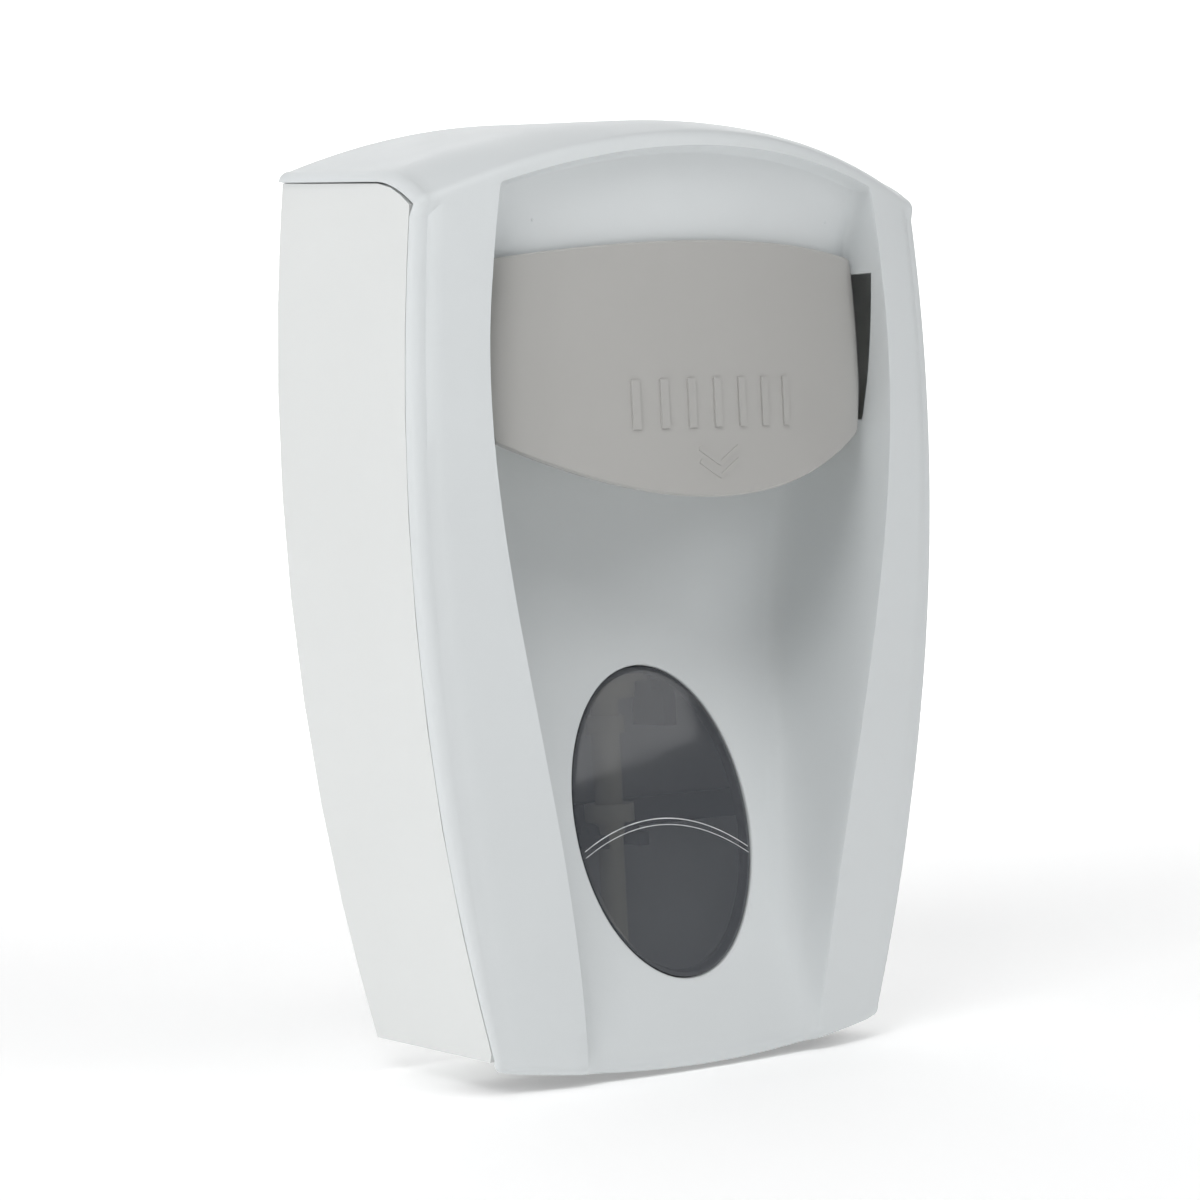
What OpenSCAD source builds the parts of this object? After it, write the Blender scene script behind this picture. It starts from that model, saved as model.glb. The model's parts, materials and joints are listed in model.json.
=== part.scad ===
// Wall mounted soap dispenser: a rear housing on the wall, a cover hinged along its
// bottom edge, and a push lever that drives a foam pump through a bell-crank yoke.
// X runs across the front, Y towards the wall, Z up. The wall is the plane y = 0,
// and the origin is the centre of the four wall-screw holes.

/* [Outline] */
// Half width at the bottom edge
half_w_bottom = 62; // [58:0.5:66]
// Half width at mid height
half_w_middle = 82.5; // [80:0.5:85]
// Half width at the shoulder
half_w_top = 80; // [76:0.5:83]
// Height of the bottom corners
z_bottom = -125; // [-127:0.5:-123]
// Height of the front top corners
z_shoulder = 103.7; // [100:0.1:106]
// Extra half width where the side walls meet the wall
wall_flare = 1.2; // [0:0.1:2]

/* [Front face] */
// Depth of the outer front edge at the bottom
edge_d_bottom = 65.2; // [63:0.1:67]
// Depth of the outer front edge at mid height
edge_d_middle = 74; // [72:0.1:76]
// Depth of the outer front edge at the shoulder
edge_d_top = 75.9; // [74:0.1:78]
// How far the front face bulges beyond its outer edges, at the bottom
bulge_bottom = 8.2; // [6:0.1:10]
// The same bulge at the shoulder
bulge_top = 16.7; // [14:0.1:18]
// Sag of the bottom edge between its corners
bottom_sag = 5; // [3:0.5:6]
// Rounding of the front edges
edge_r = 3.6; // [3:0.1:4.5]

/* [Top] */
// Height of the shoulder where the top meets the wall
z_rear_corner = 118.1; // [116:0.1:120]
// Rise of the top's arch at the wall
arch_rear = 16; // [14:0.5:18]
// Forward fall of the top, per millimetre of depth
top_fall = 0.11; // [0.08:0.01:0.13]

/* [Recess] */
// Half width of the recess at the bottom edge
recess_w_bottom = 37.9; // [36:0.1:40]
// Half width of the recess beside the window
recess_w_window = 46.8; // [45:0.1:48]
// Half width of the recess beside the lever
recess_w_lever = 64; // [63.5:0.1:66]
// Half width of the recess under the top band
recess_w_top = 57.9; // [57:0.1:60]
// Depth of the ramp at the window's centre
ramp_d = 53.9; // [52:0.1:56]
// Forward slope of the ramp, per millimetre down
ramp_slope = 0.235; // [0.2:0.005:0.26]
// Depth of the upright floor behind the lever's lower edge
floor_d = 40; // [38:0.5:42]
// Depth of the step under the top band
band_step = 5; // [4:0.5:6]

/* [Window] */
// Height of the window's centre
window_z = -64.2; // [-66:0.1:-62]
// Half width of the window
window_a = 28.2; // [26:0.1:30]
// Half height of the window
window_b = 42.7; // [40:0.1:44]

/* [Lever] */
// Half width of the push lever at its widest
lever_half_w = 60.5; // [59:0.1:61]
// Depth of the lever's face on the centre line
lever_d = 90.5; // [89:0.1:91]
// How far the lever's face falls back at its sides
lever_crown = 18; // [16:0.5:19]
// Thickness of the lever plate
lever_t = 2.4; // [2:0.1:3]
// Height of the lever's pivot
lever_pivot_z = 84; // [82:0.5:86]
// Depth of the lever's pivot
lever_pivot_d = 68; // [66:0.5:70]

/* [Fixing] */
// Distance between screw holes across
screw_dx = 136; // [134:1:140]
// Distance between screw holes in height
screw_dz = 120; // [100:5:130]
// Radius of the screw holes
screw_r = 2.5; // [2:0.25:3]

/* [Hidden] */
$fn = 48;

skin = 2.3;          // cover wall thickness
wall_t = 2.5;        // housing side wall thickness
back_t = 3;          // housing back plate thickness
seam_gap = 0.3;      // gap along the seam between cover and housing
run_gap = 0.05;      // radial clearance of a running pin
soft_gap = 0.4;      // gap beside parts that move
z_mid = 1;           // height that the mid-height values belong to
z_side_bottom = -122.3; // lower edge of the housing's side walls
hinge_d = 60.5;      // cover hinge axis, as depth and height
hinge_z = -119.5;
hinge_r = 1.25;
pump_d = 26;         // depth of the pump's axis
yoke_d = 8;          // yoke pivot, as depth and height
yoke_z = -66;
pin_r = 1.5;
lock_x = 50;         // axis of the cam lock
lock_d = 14;
lock_bore_r = 5;
lock_seat_z = 128;   // flat top of the boss that the lock's head rests on
lock_nut_z = 121.6;  // underside of the boss, where the nut bears

white = [0.90, 0.91, 0.91];
pale = [0.82, 0.84, 0.84];
grey = [0.66, 0.66, 0.65];
smoke = [0.20, 0.21, 0.23, 0.6];
cream = [0.86, 0.83, 0.70];
dark = [0.12, 0.12, 0.13];
steel = [0.70, 0.71, 0.73];

function lerp(a, b, t) = a + (b - a) * t;
function clamp01(t) = min(1, max(0, t));
// Parabola through a value at the bottom, middle and shoulder heights
function parabola(a, b, c, z) =
    a * (z - z_mid) * (z - z_shoulder) / ((z_bottom - z_mid) * (z_bottom - z_shoulder))
    + b * (z - z_bottom) * (z - z_shoulder) / ((z_mid - z_bottom) * (z_mid - z_shoulder))
    + c * (z - z_bottom) * (z - z_mid) / ((z_shoulder - z_bottom) * (z_shoulder - z_mid));
function half_w(z) = parabola(half_w_bottom, half_w_middle, half_w_top, z);
function edge_d(z) = parabola(edge_d_bottom, edge_d_middle, edge_d_top, z);
function bulge(z) = lerp(bulge_bottom, bulge_top, (z - z_bottom) / (z_shoulder - z_bottom));
function round_r(z) = lerp(2, edge_r, clamp01((z - z_bottom) / 60));
// Where the seam lies from the rounding's centre: behind it at mid height
function seam_off(z) = 0.5 - 2 * sin(180 * clamp01((z - z_bottom) / (z_shoulder - z_bottom)));
function seam_d(z) = edge_d(z) - round_r(z) + seam_off(z);
function side_x(d, z) = half_w(z) + wall_flare * (1 - d / edge_d_top);
function crown(x, z) = 1 - pow(x / half_w(z), 2);
function face_d(x, z) = edge_d(z) + bulge(z) * crown(x, z);

// Recess half width: a cubic through the four stated heights
recess_half_w = [recess_w_bottom, recess_w_window, recess_w_lever, recess_w_top];
recess_z = [z_bottom, -63, 54, z_shoulder];
function cubic_term(i, z) = recess_half_w[i] * product([for (j = [0:3]) if (j != i)
    (z - recess_z[j]) / (recess_z[i] - recess_z[j])]);
function product(v) = v[0] * v[1] * v[2];
function recess_w(z) = cubic_term(0, z) + cubic_term(1, z) + cubic_term(2, z) + cubic_term(3, z);

// Top of the cover: arch across, gentle fall forwards, rolled over near the front
roll_start = 0.73;
function top_front_d(x) = face_d(x, z_shoulder) - edge_r * (1 - cos(roll_end(x)));
function roll_end(x) = lerp(62, 70, crown(x, z_shoulder));
function top_z(x, s) = z_rear_corner + arch_rear * crown(x, z_shoulder)
    - top_fall * s * top_front_d(x)
    - lerp(6, 3, crown(x, z_shoulder)) * pow(max(0, (s - roll_start) / (1 - roll_start)), 2);
// Angle of the surface normal above the horizontal at station s of the top
function top_tilt(x, s) = lerp(84, roll_end(x), clamp01((s - roll_start) / (1 - roll_start)));

// Recess floor: the ramp that holds the window, easing into an upright floor above it
function ramp(z) = let (slope = ramp_d - ramp_slope * (z - window_z))
    (slope + floor_d) / 2 + sqrt(pow((slope - floor_d) / 2, 2) + 1);
// Slight crown across the foot of the ramp, growing below crown_start
crown_h = 2.5;
crown_start = -90;
crown_run = 35;
function floor_crown(x, z) = crown_h * clamp01((crown_start - z) / crown_run) * (1 - pow(x / recess_w(z), 2));
function lever_face(x) = lever_d - lever_crown * pow(x / lever_half_w, 2);

// Rows that bound the lever opening, the rise of the panel above it and the top band
open_lo = 42;
open_hi = 81.4;
panel_lo = 86;
panel_gap = 1.2;  // gap between the lever's back and the panel above its opening
panel_hi = 97.6;
band_z = 99.3;
function panel_d(x, z, z0) = lerp(lever_face(x) - lever_t - panel_gap, face_d(x, z) - band_step,
    clamp01((z0 - panel_lo) / (panel_hi - panel_lo)));
function floor_at(x, z, z0) =
    z0 <= open_lo ? ramp(z) + floor_crown(x, z)
    : lerp(floor_d, panel_d(x, z, z0), clamp01((z0 - open_lo) / (open_hi - open_lo)));
// Width over which the recess's side wall blends into its floor, from the bottom up
blend_bottom = 9;
blend_window = 13;
blend_open = 10;
blend_top = 5.5;
blend_rise = 12;  // height above open_lo over which the blend narrows
function blend_w(z0) =
    z0 < window_z ? lerp(blend_bottom, blend_window, (z0 - z_bottom) / (window_z - z_bottom))
    : z0 < open_lo ? lerp(blend_window, blend_open, (z0 - window_z) / (open_lo - window_z))
    : lerp(blend_open, blend_top, clamp01((z0 - open_lo) / blend_rise));
wall_soft = 0.04;
function wall_drop(t) = (1 - pow(1 - t, 3)) * (1 + wall_soft) * t / (t + wall_soft);
// How far the recess is present: whole below the band, gone above it
function band_fade(z0) = 1 - pow(clamp01((z0 - panel_hi) / (band_z - panel_hi)), 2);
function recess_d(x, z, z0, t) = let (
    rail = face_d(recess_w(z0), z),
    bed = min(floor_at(x, z, z0), face_d(x, z)),
    deep = min(rail - (rail - bed) * wall_drop(t), face_d(x, z)))
    lerp(face_d(x, z), deep, band_fade(z0));

// Columns of the cover's grid, from the seam to the centre: [kind, value]
ROUND = 0;
RAIL = 1;
WALL = 2;
FLOOR = 3;
half_cols = concat([for (a = [-1, 25, 50, 72, 90]) [ROUND, a]], [[RAIL, 0.5], [RAIL, 1]],
    [for (t = [0.05, 0.13, 0.24, 0.36, 0.6, 1]) [WALL, t]], [for (f = [0.66, 0.33, 0]) [FLOOR, f]]);
half_n = len(half_cols);
col_n = 2 * half_n - 1;
function side_of(c) = c < half_n ? -1 : 1;
function col_of(c) = half_cols[c < half_n ? c : 2 * half_n - 2 - c];
wall_col = 8;    // the column that edges the lever opening
floor_col = 12;  // the column that edges the window patch

// Rows of the cover's grid, from the bottom edge up and over to the wall: [kind, value]
UNDER = 0;
FRONT = 1;
ROLL = 2;
TOP = 3;
window_rows = [-112, -100, -88, -76, -64, -52, -40, -28, -17];
rows = concat([for (a = [90, 60, 30, 0]) [UNDER, a]], [[FRONT, -117]],
    [for (z = window_rows) [FRONT, z]], [for (z = [-5, 8, 20, 31, open_lo]) [FRONT, z]],
    [for (z = [54, 66, 76, open_hi]) [FRONT, z]],
    [for (z = [panel_lo, 91, 95, panel_hi, 98.2, 98.7, 99.1, band_z]) [FRONT, z]],
    [for (f = [0:3]) [ROLL, f / 3]], [for (s = [0.93, 0.85, 0.75, 0.6, 0.4, 0.2, 0]) [TOP, s]]);
row_n = len(rows);
window_lo = 5;
window_hi = window_lo + len(window_rows) - 1;
lever_lo = window_hi + 5;
lever_hi = lever_lo + 4;
under_r = 3.5;   // height of the rolled bottom edge
rear_gap = 0.4;  // gap between the cover's rear edge and the wall

// Rise of a row's arch between its ends and the centre line
lever_arch = 6.6;
band_arch = 17.4;
function row_arch(z0) = z0 < open_hi
    ? lerp(-bottom_sag, lever_arch, (z0 - z_bottom) / (open_hi - z_bottom))
    : lerp(lever_arch, band_arch, clamp01((z0 - open_hi) / (panel_hi - open_hi)));
function bottom_z(x) = z_bottom - bottom_sag * crown(x, z_bottom);

// Inner radius left by a wall of thickness off under a rounding of radius r
function inner_r(r, off) = off > 0 ? max(r - off, 0.3) : r;

// x of a column at reference height z0; the inner skin moves outwards beside the recess
function col_x(c, z0, off) = let (k = col_of(c), w = half_w(z0), wi = recess_w(z0),
    r = round_r(z0), inner = wi - blend_w(z0),
    x = k[0] == ROUND ? w - r + inner_r(r, off) * (k[1] < 0 ? 1 : cos(k[1]))
        : k[0] == RAIL ? lerp(w - r, wi + off, k[1])
        : k[0] == WALL ? wi - k[1] * blend_w(z0) + off * (1 - k[1])
        : inner * k[1])
    side_of(c) * x;
// The x that a column's depth is measured at, the same for both skins
function depth_x(c, z0) = abs(col_x(c, z0, 0));
function wall_t_of(c) = let (k = col_of(c)) k[0] == WALL ? k[1] : k[0] == FLOOR ? 1 : 0;

// Point of the front: the rounding turns from the side (0 degrees) to the face (90 degrees)
function front_point(c, z0, off) = let (k = col_of(c), r = round_r(z0), ri = inner_r(r, off),
    x = depth_x(c, z0), z = z0 + row_arch(z0) * crown(x, z0))
    k[0] == ROUND
    ? [col_x(c, z0, off), -(edge_d(z0) - r + (k[1] < 0 ? seam_off(z0) : ri * sin(k[1]))), z0]
    : [col_x(c, z0, off), -(recess_d(x, z, z0, wall_t_of(c)) - off), z];

// Point of the rolled bottom edge at angle a: 0 on the front, 90 underneath
function under_point(c, a, off) = let (k = col_of(c), z0 = z_bottom + under_r, r = round_r(z0),
    ri = inner_r(r, off), hi = inner_r(under_r, off), x = depth_x(c, z0),
    lift = k[0] == ROUND ? (k[1] < 0 ? seam_off(z0) / r : sin(k[1])) : 1,
    ry = lerp(r, 3, crown(x, z0)), d = recess_d(x, bottom_z(x) + under_r, z0, wall_t_of(c)))
    k[0] == ROUND
    ? [col_x(c, z0, off), -(edge_d(z0) - r + (k[1] < 0 ? r : ri) * lift * cos(a)),
       z0 - (k[1] < 0 ? under_r : hi) * lift * sin(a)]
    : [col_x(c, z0, off), -(d - ry + inner_r(ry, off) * cos(a)), bottom_z(x) + under_r - hi * sin(a)];

// Point of the top at station s (1 at the front, 0 at the wall), f of the way round the roll
function top_point(c, s, f, off) = let (k = col_of(c), x = depth_x(c, z_shoulder),
    tilt = s < 1 ? top_tilt(x, s) : roll_end(x) * f,
    d = s < 1 ? max(s * top_front_d(x), rear_gap) : face_d(x, z_shoulder) - edge_r * (1 - cos(tilt)),
    z = s < 1 ? top_z(x, s) : top_z(x, 1) - edge_r * (sin(roll_end(x)) - sin(tilt)),
    ri = inner_r(edge_r, off), x0 = half_w_top - edge_r,
    tilt0 = s < 1 ? top_tilt(x0, s) : roll_end(x0) * f,
    d0 = (s < 1 ? s * top_front_d(x0) : face_d(x0, z_shoulder) - edge_r * (1 - cos(tilt0)))
        - edge_r * cos(tilt0),
    z0 = (s < 1 ? top_z(x0, s) : top_z(x0, 1) - edge_r * (sin(roll_end(x0)) - sin(tilt0)))
        - edge_r * sin(tilt0),
    reach = k[0] == ROUND ? (k[1] < 0 ? seam_off(z_shoulder) : ri * sin(k[1])) : 0,
    flare = wall_flare * (1 - d / edge_d_top) * abs(col_x(c, z_shoulder, off)) / half_w_top)
    k[0] == ROUND
    ? [col_x(c, z_shoulder, off) + side_of(c) * flare, -max(d0 + reach * cos(tilt0), rear_gap),
       z0 + reach * sin(tilt0)]
    : [col_x(c, z_shoulder, off) + side_of(c) * flare, -max(d - off * cos(tilt), rear_gap),
       z - off * sin(tilt)];

function shell_point(i, c, off) = let (row = rows[i])
    row[0] == UNDER ? under_point(c, row[1], off)
    : row[0] == FRONT ? front_point(c, row[1], off)
    : row[0] == ROLL ? top_point(c, 1, row[1], off) : top_point(c, row[1], 1, off);

// Cells of the grid: kept, or left out for the lever opening and the window patch
KEPT = 0;
OPEN = 1;
PATCH = 2;
function cell(i, c) =
    i < 0 || c < 0 || i >= row_n - 1 || c >= col_n - 1 ? OPEN
    : i >= lever_lo && i < lever_hi && c >= wall_col && c < col_n - 1 - wall_col ? OPEN
    : i >= window_lo && i < window_hi && c >= floor_col && c < col_n - 1 - floor_col ? PATCH
    : KEPT;

// Loop around the window patch, and the ovals inside it
patch_cols = col_n - 1 - 2 * floor_col;
patch_rows = window_hi - window_lo;
loop = concat([for (k = [0:patch_cols - 1]) [window_lo, floor_col + k]],
    [for (k = [0:patch_rows - 1]) [window_lo + k, floor_col + patch_cols]],
    [for (k = [0:patch_cols - 1]) [window_hi, floor_col + patch_cols - k]],
    [for (k = [0:patch_rows - 1]) [window_hi - k, floor_col]]);
loop_n = len(loop);
chord_gap = 0.4;  // keeps the oval hole's straight edges clear of the lens
function oval_point(p, off) = let (
    a = atan2((p[2] - window_z) / window_b, p[0] / window_a),
    x = (window_a + chord_gap) * cos(a), z = window_z + (window_b + chord_gap) * sin(a))
    [x, -(ramp(z) + floor_crown(x, z) - off), z];
function ring_point(k, off) = oval_point(shell_point(loop[k][0], loop[k][1], 0), off);

function outer_id(i, c) = i * col_n + c;
function inner_id(i, c) = (row_n + i) * col_n + c;
grid_n = 2 * row_n * col_n;
function oval_id(k, skin_side) = grid_n + skin_side * loop_n + k % loop_n;
function quad(a, b, c, d) = [[a, b, c], [a, c, d]];

module cover_skin() {
    points = concat(
        [for (off = [0, skin], i = [0:row_n - 1], c = [0:col_n - 1]) shell_point(i, c, off)],
        [for (off = [0, skin], k = [0:loop_n - 1]) ring_point(k, off)]);
    skins = [for (i = [0:row_n - 2], c = [0:col_n - 2]) if (cell(i, c) == KEPT)
        each concat(quad(outer_id(i, c), outer_id(i + 1, c), outer_id(i + 1, c + 1), outer_id(i, c + 1)),
            quad(inner_id(i, c), inner_id(i, c + 1), inner_id(i + 1, c + 1), inner_id(i + 1, c)))];
    edges = [for (i = [0:row_n - 2], c = [0:col_n - 2]) if (cell(i, c) == KEPT) each concat(
        cell(i - 1, c) == OPEN
            ? quad(outer_id(i, c), outer_id(i, c + 1), inner_id(i, c + 1), inner_id(i, c)) : [],
        cell(i + 1, c) == OPEN
            ? quad(outer_id(i + 1, c + 1), outer_id(i + 1, c),
                inner_id(i + 1, c), inner_id(i + 1, c + 1)) : [],
        cell(i, c - 1) == OPEN
            ? quad(outer_id(i + 1, c), outer_id(i, c), inner_id(i, c), inner_id(i + 1, c)) : [],
        cell(i, c + 1) == OPEN
            ? quad(outer_id(i, c + 1), outer_id(i + 1, c + 1),
                inner_id(i + 1, c + 1), inner_id(i, c + 1)) : [])];
    patch = [for (k = [0:loop_n - 1]) let (a = loop[k], b = loop[(k + 1) % loop_n]) each concat(
        quad(outer_id(b[0], b[1]), outer_id(a[0], a[1]), oval_id(k, 0), oval_id(k + 1, 0)),
        quad(inner_id(a[0], a[1]), inner_id(b[0], b[1]), oval_id(k + 1, 1), oval_id(k, 1)),
        quad(oval_id(k + 1, 0), oval_id(k, 0), oval_id(k, 1), oval_id(k + 1, 1)))];
    polyhedron(points, concat(skins, edges, patch));
}

// A flat shape drawn as [depth, z] points and extruded across x from x0 to x1
module across(x0, x1) {
    translate([x0, 0, 0]) rotate([90, 0, 90]) linear_extrude(x1 - x0) mirror([1, 0]) children();
}
// A round bar along x at a depth and height
module bar_x(x0, x1, d, z, r) { translate([x0, -d, z]) rotate([0, 90, 0]) cylinder(r = r, h = x1 - x0); }
// A round bar along y, from depth d0 out to depth d1
module bar_y(x, d0, d1, z, r) { translate([x, -d0, z]) rotate([90, 0, 0]) cylinder(r = r, h = d1 - d0); }
// A round bar along z
module bar_z(x, d, z0, z1, r) { translate([x, -d, z0]) cylinder(r = r, h = z1 - z0); }
// A box given by its range in x, depth and z
module block(x, d, z) { translate([x[0], -d[1], z[0]]) cube([x[1] - x[0], d[1] - d[0], z[1] - z[0]]); }
// The same shape on both sides
module both_sides() { children(); mirror([1, 0, 0]) children(); }
// Round coils of a spring about z
module coils(r, wire, z0, z1, n) {
    for (k = [0:n - 1]) translate([0, 0, lerp(z0 + wire, z1 - wire, k / (n - 1))])
        rotate_extrude() translate([r, 0]) circle(r = wire, $fn = 16);
}

// Rear housing: side walls and back plate in one U, closed below the pump by a floor
side_s = [1, 0.93, 0.85, 0.75, 0.6, 0.4, 0.2, 0];
back_x = [for (k = [-4:4]) k / 5];
wall_cols = concat([for (s = side_s) [-1, s]], [for (f = back_x) [f, -1]],
    [for (k = [len(side_s) - 1:-1:0]) [1, side_s[k]]]);
wall_rows = [0, 0.012, 0.03, 0.08, 0.16, 0.28, 0.4, 0.52, 0.64, 0.76, 0.86, 0.94, 1];
corner_r = 3;    // rounding of the side wall's lower front corner, about the hinge
function seam_top(s) = let (p = top_point(0, s, 1, 0)) [-p[1], p[2]];
function corner_d(z) = z < hinge_z ? hinge_d + sqrt(max(0, pow(corner_r, 2) - pow(z - hinge_z, 2))) : 1000;
function wall_top(q) = q[1] < 0 ? z_rear_corner + arch_rear * (1 - q[0] * q[0]) - skin - soft_gap
    : seam_top(q[1])[1] - seam_gap;
function wall_point(q, v, inner) = let (z = lerp(z_side_bottom, wall_top(q), v))
    q[1] < 0 ? [q[0] * (half_w(z) + wall_flare - (inner ? wall_t : 0)), inner ? -back_t : 0, z]
    : let (share = (q[1] == 0 ? 0 : seam_top(q[1])[0] / seam_top(1)[0]),
        d = min(share * (seam_d(z) - seam_gap), corner_d(z)))
        [q[0] * (side_x(d, z) - (inner ? wall_t : 0)), inner && q[1] == 0 ? -back_t : -d, z];
module housing_shell() {
    n = len(wall_cols);
    m = len(wall_rows);
    points = [for (inner = [false, true], v = wall_rows, q = wall_cols) wall_point(q, v, inner)];
    function a(i, c) = i * n + c;
    function b(i, c) = (m + i) * n + c;
    sides = [for (i = [0:m - 2], c = [0:n - 2]) each concat(
        quad(a(i, c), a(i, c + 1), a(i + 1, c + 1), a(i + 1, c)),
        quad(b(i, c), b(i + 1, c), b(i + 1, c + 1), b(i, c + 1)))];
    ends = [for (c = [0:n - 2]) each concat(
        quad(a(0, c), b(0, c), b(0, c + 1), a(0, c + 1)),
        quad(a(m - 1, c), a(m - 1, c + 1), b(m - 1, c + 1), b(m - 1, c)))];
    fronts = [for (i = [0:m - 2]) each concat(
        quad(a(i, 0), a(i + 1, 0), b(i + 1, 0), b(i, 0)),
        quad(a(i, n - 1), b(i, n - 1), b(i + 1, n - 1), a(i + 1, n - 1)))];
    polyhedron(points, concat(sides, ends, fronts));
}
yoke_boss_x = [58, 63];
hinge_boss_x = [54.4, 61.6];
outlet_r = 9;
module rear_housing() {
    color(white) difference() {
        union() {
            housing_shell();
            block([-61, 61], [back_t - 0.5, 40], [z_side_bottom, z_side_bottom + 2.3]);
            both_sides() {
                bar_x(hinge_boss_x[0], hinge_boss_x[1], hinge_d, hinge_z, 2.6);
                block(yoke_boss_x, [back_t - 0.5, yoke_d], [yoke_z - 4, yoke_z + 4]);
                bar_x(yoke_boss_x[0], yoke_boss_x[1], yoke_d, yoke_z, 4);
            }
        }
        for (x = [-1, 1], z = [-1, 1])
            bar_y(x * screw_dx / 2, -1, back_t + 1, z * screw_dz / 2, screw_r);
        bar_z(0, pump_d, z_side_bottom - 1, z_side_bottom + 4, outlet_r);
        both_sides() {
            bar_x(hinge_boss_x[0] - 1, hinge_boss_x[1] - 2.5, hinge_d, hinge_z, hinge_r + run_gap);
            bar_x(yoke_boss_x[0] - 1, yoke_boss_x[1] + 1, yoke_d, yoke_z, pin_r);
        }
    }
}

// Shelf with an open slot that carries the refill by its closure
shelf_z = [-29, -26.4];
shelf_half_w = 30;
shelf_d = 37;
foot_x = 24;
foot_w = 4;
foot_d = 20;
foot_h = 12;
module bottle_shelf() {
    color(dark) difference() {
        union() {
            block([-shelf_half_w, shelf_half_w], [back_t, shelf_d], shelf_z);
            for (x = [-foot_x - foot_w, foot_x])
                block([x, x + foot_w], [back_t, foot_d], [shelf_z[0] - foot_h, shelf_z[0]]);
        }
        bar_z(0, pump_d, shelf_z[0] - 1, shelf_z[1] + 1, chamber_r + soft_gap);
        block([-chamber_r - soft_gap, chamber_r + soft_gap], [pump_d, shelf_d + 1],
            [shelf_z[0] - 1, shelf_z[1] + 1]);
    }
}

// Refill bottle: slim below, deeper and wider above the carrier's arms
neck_r = 10.5;
chamber_r = 8.8;
bottle_z = [-12, 50, 66, 104];
module rounded_slab(half, d, z, r) {
    translate([0, 0, z[0]]) linear_extrude(z[1] - z[0]) offset(r = r)
        translate([-half + r, -d[1] + r]) square([2 * (half - r), d[1] - d[0] - 2 * r]);
}
module refill_bottle() {
    color([0.93, 0.94, 0.95]) difference() {
        union() {
            rounded_slab(50, [4, 36.5], [bottle_z[0], bottle_z[1]], 8);
            rounded_slab(50, [4, 49.5], [bottle_z[1], bottle_z[2]], 8);
            rounded_slab(66, [4, 54], [bottle_z[2], bottle_z[3]], 10);
            bar_z(0, pump_d, -24, bottle_z[0] + 1, neck_r);
        }
        bar_z(0, pump_d, -25, 10, chamber_r + run_gap);
    }
}
closure_z = [-26.3, -12.6];
module bottle_closure() {
    color(cream) difference() {
        bar_z(0, pump_d, closure_z[0], closure_z[1], 12.8);
        bar_z(0, pump_d, -24, closure_z[1] + 1, neck_r + run_gap);
        bar_z(0, pump_d, closure_z[0] - 1, -23, chamber_r + run_gap);
    }
}
bore_r = 6.5;
stem_r = 4;
module pump_chamber() {
    color(cream) difference() {
        bar_z(0, pump_d, -31, 9, chamber_r);
        bar_z(0, pump_d, -29, 7, bore_r);
        bar_z(0, pump_d, -32, -28, stem_r + 0.1);
    }
}
// Plunger: piston, stem, two flanges and the delivery tube
flange_z = -66;
module pump_plunger() {
    color(cream) difference() {
        union() {
            bar_z(0, pump_d, -17, -13, bore_r - 0.1);
            bar_z(0, pump_d, -70, -16, stem_r);
            bar_z(0, pump_d, -41, -36, 5.5);
            bar_z(0, pump_d, flange_z, -61, 7);
            bar_z(0, pump_d, -131, -69, 3.6);
        }
        bar_z(0, pump_d, -132, -20, 1.6);
    }
}
module pump_spring() { color(steel) translate([0, -pump_d, 0]) coils(5, 0.5, -12.9, 6.9, 9); }

// Bell-crank yoke: arms beside the refill, a fork that lifts the plunger's lower flange
arm_x = [53.4, 57.4];
fork_x = [4.9, 8.4];
module pump_yoke() {
    color(dark) difference() {
        union() {
            both_sides() {
                across(arm_x[0], arm_x[1])
                    polygon([[6, -66], [10.5, -70], [30.4, -20], [30.4, -11], [26, -11], [25, -18]]);
                bar_x(arm_x[0], arm_x[1], yoke_d, yoke_z, 4.2);
                block(fork_x, [6, 33], [-73, -69.3]);
                bar_x(fork_x[0], fork_x[1], pump_d, -68.7, 2.2);
            }
            block([-arm_x[1], arm_x[1]], [6, 10.2], [-70, -62]);
        }
        both_sides() bar_x(arm_x[0] - 0.6, arm_x[1] + 1, yoke_d, yoke_z, pin_r + run_gap);
    }
}
module yoke_pivot_pins() {
    color(steel) both_sides() bar_x(arm_x[0] - 0.4, yoke_boss_x[1], yoke_d, yoke_z, pin_r);
}

// Strike on the back plate, with the lip that the cam's tip goes behind
strike_x = [42, 53];
module lock_strike() {
    color(steel) {
        block(strike_x, [back_t, 11], [105, 107]);
        block(strike_x, [9, 11], [107, 112.5]);
    }
}

// Front cover
lug_x = [43.2, 47.2];
cover_lug_x = [50, 54];
module front_cover() {
    color(pale) difference() {
        union() {
            cover_skin();
            bar_z(lock_x, lock_d, lock_nut_z, lock_seat_z, 7.5);
            both_sides() {
                across(lug_x[0], lug_x[1])
                    polygon([[64.4, 84], [71.6, 84], [71.6, 95], [78.2, 98], [78.2, 104],
                        [70, 119], [64.4, 119]]);
                bar_x(lug_x[0], lug_x[1], lever_pivot_d, lever_pivot_z, 3.6);
                bar_x(cover_lug_x[0], cover_lug_x[1], hinge_d, hinge_z, 2.9);
                block(cover_lug_x, [hinge_d, 66.6], [hinge_z - 2.9, hinge_z + 2.9]);
            }
        }
        both_sides() {
            bar_x(lug_x[0] - 1, lug_x[1] + 1, lever_pivot_d, lever_pivot_z, pin_r);
            bar_x(cover_lug_x[0] - 1, cover_lug_x[1] + 1, hinge_d, hinge_z, hinge_r);
        }
        bar_z(lock_x, lock_d, 115, 135, lock_bore_r + run_gap);
    }
}
module cover_hinge_pins() {
    color(steel) both_sides() bar_x(cover_lug_x[0], hinge_boss_x[1] - 3, hinge_d, hinge_z, hinge_r);
}

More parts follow.
